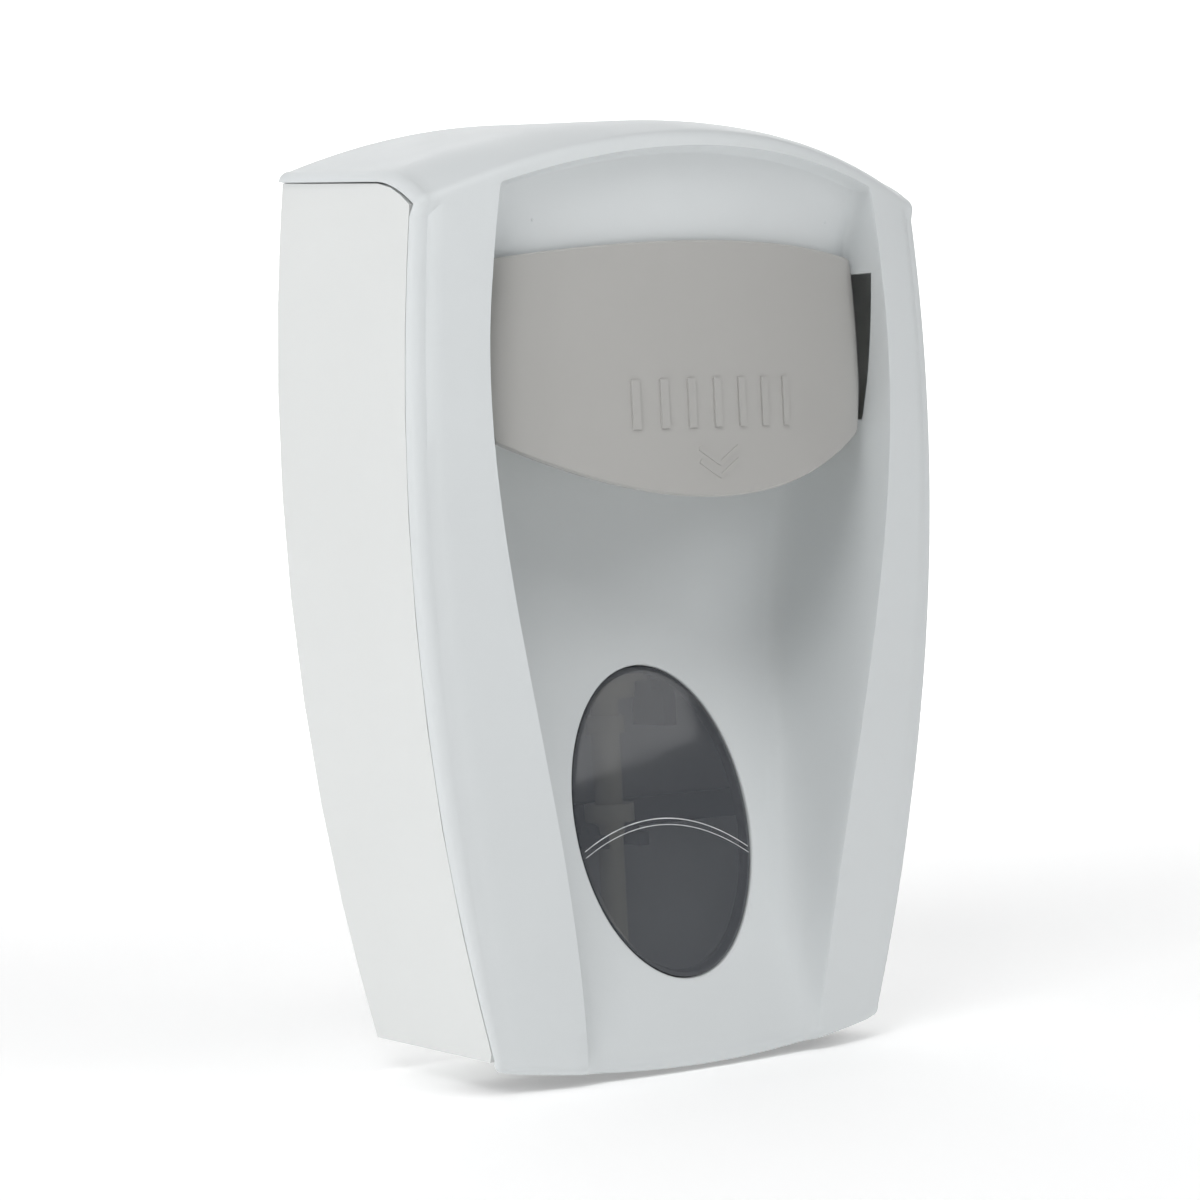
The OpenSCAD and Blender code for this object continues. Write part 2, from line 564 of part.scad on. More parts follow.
// Window lens: a shallow dome that fills the oval hole in the ramp
lens_crown = 1.2;
lens_gap = 0.45;  // gap between the lens and the cover's oval hole
lens_rings = [0, 0.35, 0.65, 0.86, 1];
lens_n = 48;
function lens_point(j, a, lift) = let (x = j * (window_a - lens_gap) * cos(a),
    z = window_z + j * (window_b - lens_gap) * sin(a))
    [x, -(ramp(z) + floor_crown(x, z) + lens_crown * (1 - j * j) - lift), z];
module dish(rings, depth) {
    m = len(rings);
    points = concat([for (lift = depth) lens_point(0, 0, lift)],
        [for (lift = depth, j = [1:m - 1], k = [0:lens_n - 1])
            lens_point(rings[j], 360 * k / lens_n, lift)]);
    function id(s, j, k) = 2 + (s * (m - 1) + j - 1) * lens_n + (k % lens_n);
    polyhedron(points, concat(
        [for (k = [0:lens_n - 1]) each [[0, id(0, 1, k), id(0, 1, k + 1)],
            [1, id(1, 1, k + 1), id(1, 1, k)]]],
        [for (j = [1:m - 2], k = [0:lens_n - 1]) each concat(
            quad(id(0, j, k), id(0, j + 1, k), id(0, j + 1, k + 1), id(0, j, k + 1)),
            quad(id(1, j, k), id(1, j, k + 1), id(1, j + 1, k + 1), id(1, j + 1, k)))],
        [for (k = [0:lens_n - 1]) each quad(id(0, m - 1, k), id(1, m - 1, k), id(1, m - 1, k + 1),
            id(0, m - 1, k + 1))]));
}
module window_lens() { color(smoke) dish(lens_rings, [0, skin]); }

// Dark ring behind the cover that backs the rim of the lens
ring_in = 0.95;
ring_out = 1.09;
module window_retainer() {
    n = 48;
    sections = [[ring_in, skin + 0.1], [ring_out, skin + 0.1], [ring_out, skin + 1.9], [ring_in, skin + 1.9]];
    points = [for (k = [0:n - 1], s = sections) let (a = 360 * k / n, x = s[0] * window_a * cos(a),
        z = window_z + s[0] * window_b * sin(a)) [x, -(ramp(z) + floor_crown(x, z) - s[1]), z]];
    function id(k, s) = (k % n) * 4 + s % 4;
    color(dark) polyhedron(points, [for (k = [0:n - 1], s = [0:3]) each
        quad(id(k, s), id(k + 1, s), id(k + 1, s + 1), id(k, s + 1))]);
}

// Push lever: a plate crowned across its width, with side edges that bow outwards
lever_top = 92;
lever_bottom = 24;
lever_wide_z = 57.6;
boss_x = 48;
boss_z = 52;
function lever_edge(z) = lever_half_w - (z > lever_wide_z ? 2.4 * pow((z - lever_wide_z) / 31, 2)
    : 2.9 * pow((lever_wide_z - z) / 17, 2) / (1 + 0.3 * pow((lever_wide_z - z) / 17, 2)));
function lever_point(u, v, back) = let (q = u * u,
    z = lerp(lever_bottom + 16.5 * q, lever_top - 3.5 * q, v), x = u * lever_edge(lerp(40.5, 88.5, v)))
    [x, -(lever_face(x) - (back ? lever_t : 0)), z];
module lever_plate() {
    n = 25;
    m = 11;
    points = [for (back = [false, true], j = [0:m - 1], i = [0:n - 1])
        lever_point(2 * i / (n - 1) - 1, j / (m - 1), back)];
    function a(j, i) = j * n + i;
    function b(j, i) = (m + j) * n + i;
    polyhedron(points, concat(
        [for (j = [0:m - 2], i = [0:n - 2]) each concat(
            quad(a(j, i), a(j + 1, i), a(j + 1, i + 1), a(j, i + 1)),
            quad(b(j, i), b(j, i + 1), b(j + 1, i + 1), b(j + 1, i)))],
        [for (i = [0:n - 2]) each concat(quad(a(0, i), a(0, i + 1), b(0, i + 1), b(0, i)),
            quad(a(m - 1, i), b(m - 1, i), b(m - 1, i + 1), a(m - 1, i + 1)))],
        [for (j = [0:m - 2]) each concat(quad(a(j, 0), b(j, 0), b(j + 1, 0), a(j + 1, 0)),
            quad(a(j, n - 1), a(j + 1, n - 1), b(j + 1, n - 1), b(j, n - 1)))]));
}
lever_lug_x = [38, 42.6];
bar_d = [60, 64];
module push_lever() {
    color(grey) difference() {
        union() {
            lever_plate();
            both_sides() {
                bar_x(lever_lug_x[0], lever_lug_x[1], lever_pivot_d, lever_pivot_z, 3.6);
                block(lever_lug_x, [lever_pivot_d, 80.6], [lever_pivot_z - 3.6, lever_pivot_z + 1]);
                bar_y(boss_x, bar_d[1], 77, boss_z, 4);
            }
        }
        both_sides() {
            bar_x(lever_lug_x[0] - 1, lever_lug_x[1] + 1, lever_pivot_d, lever_pivot_z, pin_r + run_gap);
            bar_y(boss_x, bar_d[1] - 1, 72, boss_z, 1.8);
        }
    }
}
module lever_pivot_pins() {
    color(steel) both_sides() bar_x(33, lug_x[1], lever_pivot_d, lever_pivot_z, pin_r);
}
// Carrier: crossbar riveted to the lever, with an arm down each side of the refill
module lever_carrier() {
    color(cream) difference() {
        union() {
            block([-57.4, 57.4], bar_d, [47, 57]);
            both_sides() across(arm_x[0], arm_x[1])
                polygon([[61, 57], [36, 57], [31, 52], [31, -16], [35.5, -16],
                    [35.5, 44], [38, 47], [61, 47]]);
        }
        both_sides() bar_y(boss_x, bar_d[0] - 1, bar_d[1] + 1, boss_z, 1.8);
    }
}
module carrier_rivets() {
    color(steel) both_sides() {
        bar_y(boss_x, bar_d[0], 71.5, boss_z, 1.8);
        bar_y(boss_x, bar_d[0] - 1.2, bar_d[0], boss_z, 3.2);
    }
}
module lever_spring() {
    color(steel) translate([33.3, -lever_pivot_d, lever_pivot_z]) rotate([0, 90, 0])
        coils(2.6, 0.4, 0, 4.4, 4);
}

// Cam lock through the top of the cover, near the wall
module lock_barrel() {
    color(steel) difference() {
        union() {
            bar_z(lock_x, lock_d, 118, lock_seat_z + run_gap, lock_bore_r);
            bar_z(lock_x, lock_d, lock_seat_z + run_gap, lock_seat_z + 1.1, lock_bore_r + 1);
        }
        block([lock_x - 0.6, lock_x + 0.6], [lock_d - 2.5, lock_d + 2.5],
            [lock_seat_z - 2.5, lock_seat_z + 2]);
    }
}
module lock_cam() {
    color(steel) {
        bar_z(lock_x, lock_d, 114, 118, lock_bore_r - 0.5);
        block([lock_x, lock_x + 10.5], [lock_d - 2, lock_d + 2], [114, 116]);
        block([lock_x + 6.5, lock_x + 10.5], [lock_d - 2, lock_d + 2], [109.5, 114]);
    }
}
module lock_nut() {
    color(steel) difference() {
        bar_z(lock_x, lock_d, lock_nut_z - 3, lock_nut_z, 7.5, $fn = 6);
        bar_z(lock_x, lock_d, 118, 122, lock_bore_r + run_gap);
    }
}

rear_housing();
bottle_shelf();
refill_bottle();
bottle_closure();
pump_chamber();
pump_plunger();
pump_spring();
pump_yoke();
yoke_pivot_pins();
lock_strike();
front_cover();
cover_hinge_pins();
window_lens();
window_retainer();
push_lever();
lever_carrier();
carrier_rivets();
lever_pivot_pins();
lever_spring();
lock_barrel();
lock_cam();
lock_nut();
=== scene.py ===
import json
import math

import bmesh
import bpy
from mathutils import Matrix, Vector


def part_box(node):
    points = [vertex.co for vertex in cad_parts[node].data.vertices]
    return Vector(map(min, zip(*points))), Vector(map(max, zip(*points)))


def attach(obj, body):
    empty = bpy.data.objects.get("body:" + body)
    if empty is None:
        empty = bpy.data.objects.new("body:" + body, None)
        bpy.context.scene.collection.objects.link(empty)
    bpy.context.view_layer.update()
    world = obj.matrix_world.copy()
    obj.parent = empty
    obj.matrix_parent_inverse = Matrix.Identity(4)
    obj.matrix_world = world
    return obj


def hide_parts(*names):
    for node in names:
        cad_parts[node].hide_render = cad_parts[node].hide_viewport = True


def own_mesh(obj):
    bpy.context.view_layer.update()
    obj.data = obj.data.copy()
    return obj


# Wall mounted soap dispenser. Shapes are worked out in millimetres as (x, depth, z), where
# depth is the distance out from the wall, and metres() turns them into the shared frame.

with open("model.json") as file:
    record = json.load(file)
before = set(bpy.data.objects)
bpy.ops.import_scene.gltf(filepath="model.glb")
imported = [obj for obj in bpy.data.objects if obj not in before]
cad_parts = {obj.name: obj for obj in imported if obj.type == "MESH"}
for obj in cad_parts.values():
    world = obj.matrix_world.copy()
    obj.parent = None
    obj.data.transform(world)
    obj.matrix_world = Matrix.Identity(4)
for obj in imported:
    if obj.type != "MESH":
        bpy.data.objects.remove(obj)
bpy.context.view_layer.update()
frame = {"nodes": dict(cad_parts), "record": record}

# ---------------------------------------------------------------- outline of the cover
HALF_W = (62.0, 82.5, 80.0)      # half width at the bottom, middle and shoulder
EDGE_D = (65.2, 74.0, 75.9)      # depth of the outer front edge at the same heights
Z_BOTTOM, Z_MID, Z_SHOULDER = -125.0, 1.0, 103.7
WALL_FLARE = 1.2
BULGE = (8.2, 16.7)
BOTTOM_SAG = 5.0
EDGE_R = 3.6
Z_REAR_CORNER = 118.1
ARCH_REAR = 16.0
TOP_FALL = 0.11
ROLL_START = 0.73
RECESS_W = (37.9, 46.8, 64.0, 57.9)
RECESS_Z = (Z_BOTTOM, -63.0, 54.0, Z_SHOULDER)
RAMP_D, RAMP_SLOPE, FLOOR_D, BAND_STEP = 53.9, 0.235, 40.0, 5.0
WINDOW_Z, WINDOW_A, WINDOW_B = -64.2, 28.2, 42.7
OPEN_LO, OPEN_HI, PANEL_LO, PANEL_HI, BAND_Z = 42.0, 81.4, 86.0, 97.6, 99.3
LEVER_HALF_W, LEVER_D, LEVER_CROWN, LEVER_T = 60.5, 90.5, 18.0, 2.4
LEVER_ARCH, BAND_ARCH = 6.6, 17.4
PANEL_GAP = 1.2
SKIN = 2.3
UNDER_R = 3.5
REAR_GAP = 0.4
WALL_SOFT = 0.04
BOTTOM_ROUND, ROUND_RUN = 2.0, 60.0
SEAM_OUT, SEAM_DIP = 0.5, 2.0
ROLL_ANGLE = (62.0, 70.0)        # tilt in degrees at the roll's end, at the sides and the middle
TOP_ANGLE = 84.0
ROLL_FALL = (6.0, 3.0)
UNDER_MID_R = 3.0
FLOOR_CROWN, CROWN_START, CROWN_RUN = 2.5, -90.0, 35.0
BLEND_W = (9.0, 13.0, 10.0, 5.5)  # at the bottom, the window, the opening's foot and above
BLEND_RISE = 12.0


def lerp(a, b, t):
    return a + (b - a) * t


def clamp01(t):
    return min(1.0, max(0.0, t))


def parabola(values, z):
    """Through a value at the bottom, middle and shoulder heights."""
    low, mid, high = values
    a = (z - Z_MID) * (z - Z_SHOULDER) / ((Z_BOTTOM - Z_MID) * (Z_BOTTOM - Z_SHOULDER))
    b = (z - Z_BOTTOM) * (z - Z_SHOULDER) / ((Z_MID - Z_BOTTOM) * (Z_MID - Z_SHOULDER))
    c = (z - Z_BOTTOM) * (z - Z_MID) / ((Z_SHOULDER - Z_BOTTOM) * (Z_SHOULDER - Z_MID))
    return low * a + mid * b + high * c


def half_w(z):
    return parabola(HALF_W, z)


def edge_d(z):
    return parabola(EDGE_D, z)


def height_share(z):
    return (z - Z_BOTTOM) / (Z_SHOULDER - Z_BOTTOM)


def round_r(z):
    return lerp(BOTTOM_ROUND, EDGE_R, clamp01((z - Z_BOTTOM) / ROUND_RUN))


def seam_off(z):
    return SEAM_OUT - SEAM_DIP * math.sin(math.pi * clamp01(height_share(z)))


def crown(x, z):
    return 1.0 - (x / half_w(z)) ** 2


def face_d(x, z):
    return edge_d(z) + lerp(*BULGE, height_share(z)) * crown(x, z)


def recess_w(z):
    """Half width of the recess: a cubic through four heights."""
    total = 0.0
    for i, value in enumerate(RECESS_W):
        term = value
        for j, other in enumerate(RECESS_Z):
            if j != i:
                term *= (z - other) / (RECESS_Z[i] - other)
        total += term
    return total


def roll_end(x):
    return lerp(*ROLL_ANGLE, crown(x, Z_SHOULDER))


def top_front_d(x):
    return face_d(x, Z_SHOULDER) - EDGE_R * (1.0 - math.cos(math.radians(roll_end(x))))


def top_z(x, s):
    share = crown(x, Z_SHOULDER)
    fall = max(0.0, (s - ROLL_START) / (1.0 - ROLL_START)) ** 2
    height = Z_REAR_CORNER + ARCH_REAR * share - TOP_FALL * s * top_front_d(x)
    return height - lerp(*ROLL_FALL, share) * fall


def top_tilt(x, s):
    return lerp(TOP_ANGLE, roll_end(x), clamp01((s - ROLL_START) / (1.0 - ROLL_START)))


def ramp(z):
    slope = RAMP_D - RAMP_SLOPE * (z - WINDOW_Z)
    return (slope + FLOOR_D) / 2.0 + math.sqrt(((slope - FLOOR_D) / 2.0) ** 2 + 1.0)


def floor_crown(x, z):
    return FLOOR_CROWN * clamp01((CROWN_START - z) / CROWN_RUN) * (1.0 - (x / recess_w(z)) ** 2)


def lever_face(x):
    return LEVER_D - LEVER_CROWN * (x / LEVER_HALF_W) ** 2


def floor_at(x, z, z0):
    """Depth of the recess's floor in the row of reference height z0."""
    if z0 <= OPEN_LO:
        return ramp(z) + floor_crown(x, z)
    rise = clamp01((z0 - PANEL_LO) / (PANEL_HI - PANEL_LO))
    panel = lerp(lever_face(x) - LEVER_T - PANEL_GAP, face_d(x, z) - BAND_STEP, rise)
    return lerp(FLOOR_D, panel, clamp01((z0 - OPEN_LO) / (OPEN_HI - OPEN_LO)))


def blend_w(z0):
    """Width over which the recess's side wall blends into its floor."""
    low, window, foot, high = BLEND_W
    if z0 < WINDOW_Z:
        return lerp(low, window, (z0 - Z_BOTTOM) / (WINDOW_Z - Z_BOTTOM))
    if z0 < OPEN_LO:
        return lerp(window, foot, (z0 - WINDOW_Z) / (OPEN_LO - WINDOW_Z))
    return lerp(foot, high, clamp01((z0 - OPEN_LO) / BLEND_RISE))


def wall_drop(t):
    return (1.0 - (1.0 - t) ** 3) * (1.0 + WALL_SOFT) * t / (t + WALL_SOFT)


def recess_d(x, z, z0, t):
    rail = face_d(recess_w(z0), z)
    bed = min(floor_at(x, z, z0), face_d(x, z))
    deep = min(rail - (rail - bed) * wall_drop(t), face_d(x, z))
    fade = 1.0 - clamp01((z0 - PANEL_HI) / (BAND_Z - PANEL_HI)) ** 2
    return lerp(face_d(x, z), deep, fade)


def row_arch(z0):
    if z0 < OPEN_HI:
        return lerp(-BOTTOM_SAG, LEVER_ARCH, (z0 - Z_BOTTOM) / (OPEN_HI - Z_BOTTOM))
    return lerp(LEVER_ARCH, BAND_ARCH, clamp01((z0 - OPEN_HI) / (PANEL_HI - OPEN_HI)))


def bottom_z(x):
    return Z_BOTTOM - BOTTOM_SAG * crown(x, Z_BOTTOM)


def inner_r(r, off):
    """Radius of a round edge on the surface a skin thickness off behind it."""
    return max(r - off, 0.3) if off > 0 else r


# ---------------------------------------------------------------- grid of the cover
def spread(stops, steps):
    """The stops with evenly spaced values between each pair."""
    out = []
    for a, b in zip(stops, stops[1:]):
        out += [lerp(a, b, k / steps) for k in range(steps)]
    return out + [stops[-1]]


OPENING_T = 0.13                 # share of the side wall where the lever's opening starts
WALL_T = [0.02, 0.05, 0.09, OPENING_T, 0.18, 0.24, 0.30, 0.36, 0.44, 0.52, 0.60, 0.70, 0.80, 0.90, 1.0]
HALF_COLS = (
    [("round", -1.0)]
    + [("round", a) for a in spread([18.0, 90.0], 8)]
    + [("rail", k / 8.0) for k in range(1, 9)]
    + [("wall", t) for t in WALL_T]
    + [("floor", 1.0 - k / 12.0) for k in range(1, 13)]
)
COLS = [(-1, col) for col in HALF_COLS] + [(1, col) for col in reversed(HALF_COLS[:-1])]
OPENING_COL = HALF_COLS.index(("wall", OPENING_T))
FLOOR_COL = HALF_COLS.index(("wall", 1.0))

PATCH_LO, PATCH_HI = -112.0, -17.0  # heights of the patch that holds the window
FRONT_Z = (
    spread([-117.0, PATCH_LO], 2)
    + spread([PATCH_LO, PATCH_HI], 30)[1:]
    + spread([PATCH_HI, OPEN_LO], 18)[1:]
    + spread([OPEN_LO, OPEN_HI], 12)[1:]
    + spread([OPEN_HI, PANEL_HI], 8)[1:]
    + spread([PANEL_HI, BAND_Z], 8)[1:]
)
ROWS = (
    [("under", 90.0 - 9.0 * k) for k in range(11)]
    + [("front", -119.5)]
    + [("front", z) for z in FRONT_Z]
    + [("roll", k / 8.0) for k in range(9)]
    + [("top", s) for s in spread([0.985, 0.93, 0.85, 0.75, 0.6, 0.4, 0.2, 0.0], 3)]
)
WINDOW_ROWS = (ROWS.index(("front", PATCH_LO)), ROWS.index(("front", PATCH_HI)))
LEVER_ROWS = (ROWS.index(("front", OPEN_LO)), ROWS.index(("front", OPEN_HI)))


def col_x(c, z0, off):
    side, (kind, value) = COLS[c]
    w, wi, r = half_w(z0), recess_w(z0), round_r(z0)
    if kind == "round":
        turn = 1.0 if value < 0 else math.cos(math.radians(value))
        return side * (w - r + inner_r(r, off) * turn)
    if kind == "rail":
        return side * lerp(w - r, wi + off, value)
    if kind == "wall":
        return side * (wi - value * blend_w(z0) + off * (1.0 - value))
    return side * (wi - blend_w(z0)) * value


def wall_share(c):
    kind, value = COLS[c][1]
    return value if kind == "wall" else (1.0 if kind == "floor" else 0.0)


def front_point(c, z0, off):
    kind, value = COLS[c][1]
    r = round_r(z0)
    if kind == "round":
        out = seam_off(z0) if value < 0 else inner_r(r, off) * math.sin(math.radians(value))
        return (col_x(c, z0, off), edge_d(z0) - r + out, z0)
    x = abs(col_x(c, z0, 0))
    z = z0 + row_arch(z0) * crown(x, z0)
    return (col_x(c, z0, off), recess_d(x, z, z0, wall_share(c)) - off, z)


def under_point(c, angle, off):
    """The rolled bottom edge: angle 0 on the front, 90 underneath."""
    kind, value = COLS[c][1]
    z0 = Z_BOTTOM + UNDER_R
    r, high = round_r(z0), inner_r(UNDER_R, off)
    ca, sa = math.cos(math.radians(angle)), math.sin(math.radians(angle))
    if kind == "round":
        seam = value < 0
        lift = seam_off(z0) / r if seam else math.sin(math.radians(value))
        depth = edge_d(z0) - r + (r if seam else inner_r(r, off)) * lift * ca
        return (col_x(c, z0, off), depth, z0 - (UNDER_R if seam else high) * lift * sa)
    x = abs(col_x(c, z0, 0))
    ry = lerp(r, UNDER_MID_R, crown(x, z0))
    depth = recess_d(x, bottom_z(x) + UNDER_R, z0, wall_share(c))
    return (col_x(c, z0, off), depth - ry + inner_r(ry, off) * ca, bottom_z(x) + UNDER_R - high * sa)


def top_line(x, s, f):
    """(tilt in radians, depth, height) on the top's centre surface, before the skin is offset."""
    end = math.radians(roll_end(x))
    if s < 1.0:
        tilt = math.radians(top_tilt(x, s))
        return tilt, s * top_front_d(x), top_z(x, s)
    tilt = end * f
    depth = face_d(x, Z_SHOULDER) - EDGE_R * (1.0 - math.cos(tilt))
    return tilt, depth, top_z(x, 1.0) - EDGE_R * (math.sin(end) - math.sin(tilt))


def top_point(c, s, f, off):
    side, (kind, value) = COLS[c]
    tilt, depth, z = top_line(abs(col_x(c, Z_SHOULDER, 0)), s, f)
    x = col_x(c, Z_SHOULDER, off)
    x += side * WALL_FLARE * (1.0 - depth / EDGE_D[2]) * abs(x) / HALF_W[2]
    if kind == "round":
        tilt, depth, z = top_line(HALF_W[2] - EDGE_R, s, f)
        reach = seam_off(Z_SHOULDER) if value < 0 else inner_r(EDGE_R, off) * math.sin(math.radians(value))
        reach -= EDGE_R
    else:
        reach = -off
    return (x, max(depth + reach * math.cos(tilt), REAR_GAP), z + reach * math.sin(tilt))


def shell_point(i, c, off):
    kind, value = ROWS[i]
    if kind == "under":
        return under_point(c, value, off)
    if kind == "front":
        return front_point(c, value, off)
    if kind == "roll":
        return top_point(c, 1.0, value, off)
    return top_point(c, value, 1.0, off)


# ---------------------------------------------------------------- mesh building
def metres(p):
    return (p[0] * 0.001, -p[1] * 0.001, p[2] * 0.001)


class Solid:
    """Collects closed shapes in (x, depth, z) millimetres and makes one object of them."""

    def __init__(self):
        self.points = []
        self.faces = []

    def add(self, points, faces):
        start = len(self.points)
        self.points += points
        self.faces += [tuple(start + k for k in face) for face in faces]

    def loft(self, rings):
        """Closed rings of equal length joined in turn, with both ends capped."""
        n = len(rings[0])
        points = [p for ring in rings for p in ring]
        faces = [tuple(range(n)), tuple((len(rings) - 1) * n + k for k in reversed(range(n)))]
        for i in range(len(rings) - 1):
            for k in range(n):
                m = (k + 1) % n
                faces.append((i * n + k, (i + 1) * n + k, (i + 1) * n + m, i * n + m))
        self.add(points, faces)

    def hoop(self, sections):
        """Closed cross-sections joined in turn and back to the first."""
        n, m = len(sections), len(sections[0])
        points = [p for section in sections for p in section]
        faces = []
        for i in range(n):
            for k in range(m):
                a, b = (i + 1) % n, (k + 1) % m
                faces.append((i * m + k, a * m + k, a * m + b, i * m + b))
        self.add(points, faces)

    def build(self, name, sharp=35.0):
        mesh = bpy.data.meshes.new(name)
        mesh.from_pydata([metres(p) for p in self.points], [], self.faces)
        bm = bmesh.new()
        bm.from_mesh(mesh)
        bmesh.ops.recalc_face_normals(bm, faces=bm.faces)
        bm.to_mesh(mesh)
        bm.free()
        mesh.shade_smooth()
        mesh.set_sharp_from_angle(angle=math.radians(sharp))
        obj = bpy.data.objects.new(name, mesh)
        bpy.context.scene.collection.objects.link(obj)
        return obj


AXES = {"x": (0, 1, 2), "y": (1, 0, 2), "z": (2, 0, 1)}


def circle(axis, along, across, r, n=48):
    """Points of a circle about an axis: along is its place on it, across the other two."""
    order = AXES[axis]
    ring = []
    for k in range(n):
        a = 2.0 * math.pi * k / n
        p = [0.0, 0.0, 0.0]
        p[order[0]] = along
        p[order[1]] = across[0] + r * math.cos(a)
        p[order[2]] = across[1] + r * math.sin(a)
        ring.append(tuple(p))
    return ring


def rod(solid, axis, start, end, across, r, edge=0.25):
    """A round bar with its end edges eased."""
    solid.loft([
        circle(axis, start, across, r - edge), circle(axis, start + edge, across, r),
        circle(axis, end - edge, across, r), circle(axis, end, across, r - edge)])


def tube(solid, axis, start, end, across, r, bore, edge=0.3):
    """A round bar with a bore through it, its outer edges eased."""
    rings = [(start, bore), (start, r - edge), (start + edge, r)]
    rings += [(end - edge, r), (end, r - edge), (end, bore)]
    loops = [circle(axis, along, across, radius) for along, radius in rings]
    solid.hoop([[loop[k] for loop in loops] for k in range(len(loops[0]))])


def prism(solid, outline, x0, x1):
    """An outline of (depth, z) points carried across x."""
    solid.loft([[(x, d, z) for d, z in outline] for x in (x0, x1)])


def box(solid, x, d, z):
    prism(solid, [(d[0], z[0]), (d[1], z[0]), (d[1], z[1]), (d[0], z[1])], x[0], x[1])


# ---------------------------------------------------------------- front cover
def is_open(i, c):
    rows, cols = len(ROWS) - 1, len(COLS) - 1
    if i < 0 or c < 0 or i >= rows or c >= cols:
        return True
    return LEVER_ROWS[0] <= i < LEVER_ROWS[1] and OPENING_COL <= c < cols - OPENING_COL


def is_patch(i, c):
    return WINDOW_ROWS[0] <= i < WINDOW_ROWS[1] and FLOOR_COL <= c < len(COLS) - 1 - FLOOR_COL


def window_loop():
    """Grid points round the patch that holds the window."""
    lo, hi = WINDOW_ROWS
    left, right = FLOOR_COL, len(COLS) - 1 - FLOOR_COL
    loop = [(lo, c) for c in range(left, right)]
    loop += [(i, right) for i in range(lo, hi)]
    loop += [(hi, c) for c in range(right, left, -1)]
    loop += [(i, left) for i in range(hi, lo, -1)]
    return loop


def floor_point(x, z, off):
    return (x, ramp(z) + floor_crown(x, z) - off, z)


def patch_ring(loop, s, off, sink=0.0, grow=0.0):
    """Ring a share s of the way from the patch's border to the oval."""
    ring = []
    for i, c in loop:
        x, _, z = shell_point(i, c, 0)
        a = math.atan2((z - WINDOW_Z) / WINDOW_B, x / WINDOW_A)
        ox = (WINDOW_A + grow) * math.cos(a)
        oz = WINDOW_Z + (WINDOW_B + grow) * math.sin(a)
        px, pd, pz = floor_point(lerp(x, ox, s), lerp(z, oz, s), off)
        ring.append((px, pd - sink, pz))
    return ring


def outer_id(i, c):
    return i * len(COLS) + c


def inner_id(i, c):
    return (len(ROWS) + i) * len(COLS) + c


def grid_faces():
    """Outer and inner faces of the grid, with a rim wherever it is open."""
    faces = []
    rims = ((-1, 0, 0, 1), (1, 0, 2, 3), (0, -1, 3, 0), (0, 1, 1, 2))
    for i in range(len(ROWS) - 1):
        for c in range(len(COLS) - 1):
            if is_open(i, c) or is_patch(i, c):
                continue
            corners = ((i, c), (i, c + 1), (i + 1, c + 1), (i + 1, c))
            o = [outer_id(*corner) for corner in corners]
            n = [inner_id(*corner) for corner in corners]
            faces.append((o[0], o[3], o[2], o[1]))
            faces.append((n[0], n[1], n[2], n[3]))
            for di, dc, a, b in rims:
                if is_open(i + di, c + dc):
                    faces.append((o[a], o[b], n[b], n[a]))
    return faces


# Rings of the patch as (share of the way to the oval, sink, grow), then back out on the inside
PATCH_OUTSIDE = ((0.25, 0, 0), (0.5, 0, 0), (0.75, 0, 0), (1, 0, 0.7), (1, 0.1, 0.3), (1, 0.5, 0))
PATCH_INSIDE = ((1, 0, 0), (0.75, 0, 0), (0.5, 0, 0), (0.25, 0, 0))


def patch_mesh(start):
    """Points and faces of the patch, whose own points are numbered from start."""
    loop = window_loop()
    points = []
    rings = [[outer_id(i, c) for i, c in loop]]
    for off, steps in ((0, PATCH_OUTSIDE), (SKIN, PATCH_INSIDE)):
        for s, sink, grow in steps:
            first = start + len(points)
            points += patch_ring(loop, s, off, sink, grow)
            rings.append(list(range(first, first + len(loop))))
    rings.append([inner_id(i, c) for i, c in loop])
    faces = []
    for a, b in zip(rings, rings[1:]):
        for k in range(len(loop)):
            m = (k + 1) % len(loop)
            faces.append((a[k], a[m], b[m], b[k]))
    return points, faces


def cover_shell(solid):
    grid = [(i, c) for i in range(len(ROWS)) for c in range(len(COLS))]
    points = [shell_point(i, c, off) for off in (0, SKIN) for i, c in grid]
    extra, patch_faces = patch_mesh(len(points))
    solid.add(points + extra, grid_faces() + patch_faces)


LEVER_PIVOT = (68.0, 84.0)
COVER_HINGE = (60.5, -119.5)
COVER_LUG_X = (50.0, 54.0)
LUG_X = (43.2, 47.2)
LUG_OUTLINE = [(64.4, 84), (71.6, 84), (71.6, 95), (78.2, 98), (78.2, 104), (70, 119), (64.4, 119)]
LEVER_LUG_R, LEVER_PIN_R = 3.6, 1.5
HINGE_LUG_R, HINGE_PIN_R = 2.9, 1.25
LOCK_X, LOCK_D = 50.0, 14.0
LOCK_BOSS_Z, LOCK_BOSS_R, LOCK_BORE_R = (121.6, 128.0), 7.5, 5.05


def mirrored(x, side):
    """An x range on the right, or its mirror image on the left for side -1."""
    return (x[0], x[1]) if side > 0 else (-x[1], -x[0])


def make_cover():
    solid = Solid()
    cover_shell(solid)
    for side in (-1, 1):
        a, b = mirrored(LUG_X, side)
        prism(solid, LUG_OUTLINE, a, b)
        tube(solid, "x", a, b, LEVER_PIVOT, LEVER_LUG_R, LEVER_PIN_R)
        a, b = mirrored(COVER_LUG_X, side)
        tube(solid, "x", a, b, COVER_HINGE, HINGE_LUG_R, HINGE_PIN_R)
        height = (COVER_HINGE[1] - HINGE_LUG_R, COVER_HINGE[1] + HINGE_LUG_R)
        box(solid, (a, b), (COVER_HINGE[0] + 1.4, 66.6), height)
    tube(solid, "z", *LOCK_BOSS_Z, (LOCK_X, LOCK_D), LOCK_BOSS_R, LOCK_BORE_R)
    return solid.build("cover_shell", sharp=38.0)


